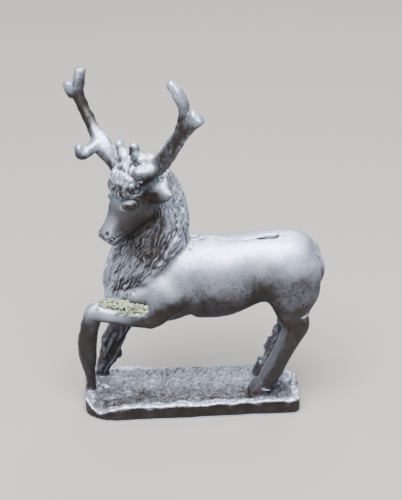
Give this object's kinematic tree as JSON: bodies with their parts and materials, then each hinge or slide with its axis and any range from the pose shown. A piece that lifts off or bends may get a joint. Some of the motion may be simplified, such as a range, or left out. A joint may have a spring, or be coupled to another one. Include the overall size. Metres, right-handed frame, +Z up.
{
  "type": "miniature stag figure",
  "caption": "Small solid white-metal casting of a walking stag with branched antlers, cast in one with its oblong ground base.",
  "frame": {"origin": "on the flat underside of the base, under the stag's barrel", "axes": "+Z up from the base's underside, -X the way the stag faces, -Y its left side"},
  "size_m": [0.0376, 0.0178, 0.0543],
  "materials": {
    "white_metal": "bare tin-lead white metal, satin on the worn flanks, grained and darkened in the recesses"
  },
  "bodies": {
    "root": {"stag_casting": "white_metal"}
  },
  "joints": []
}
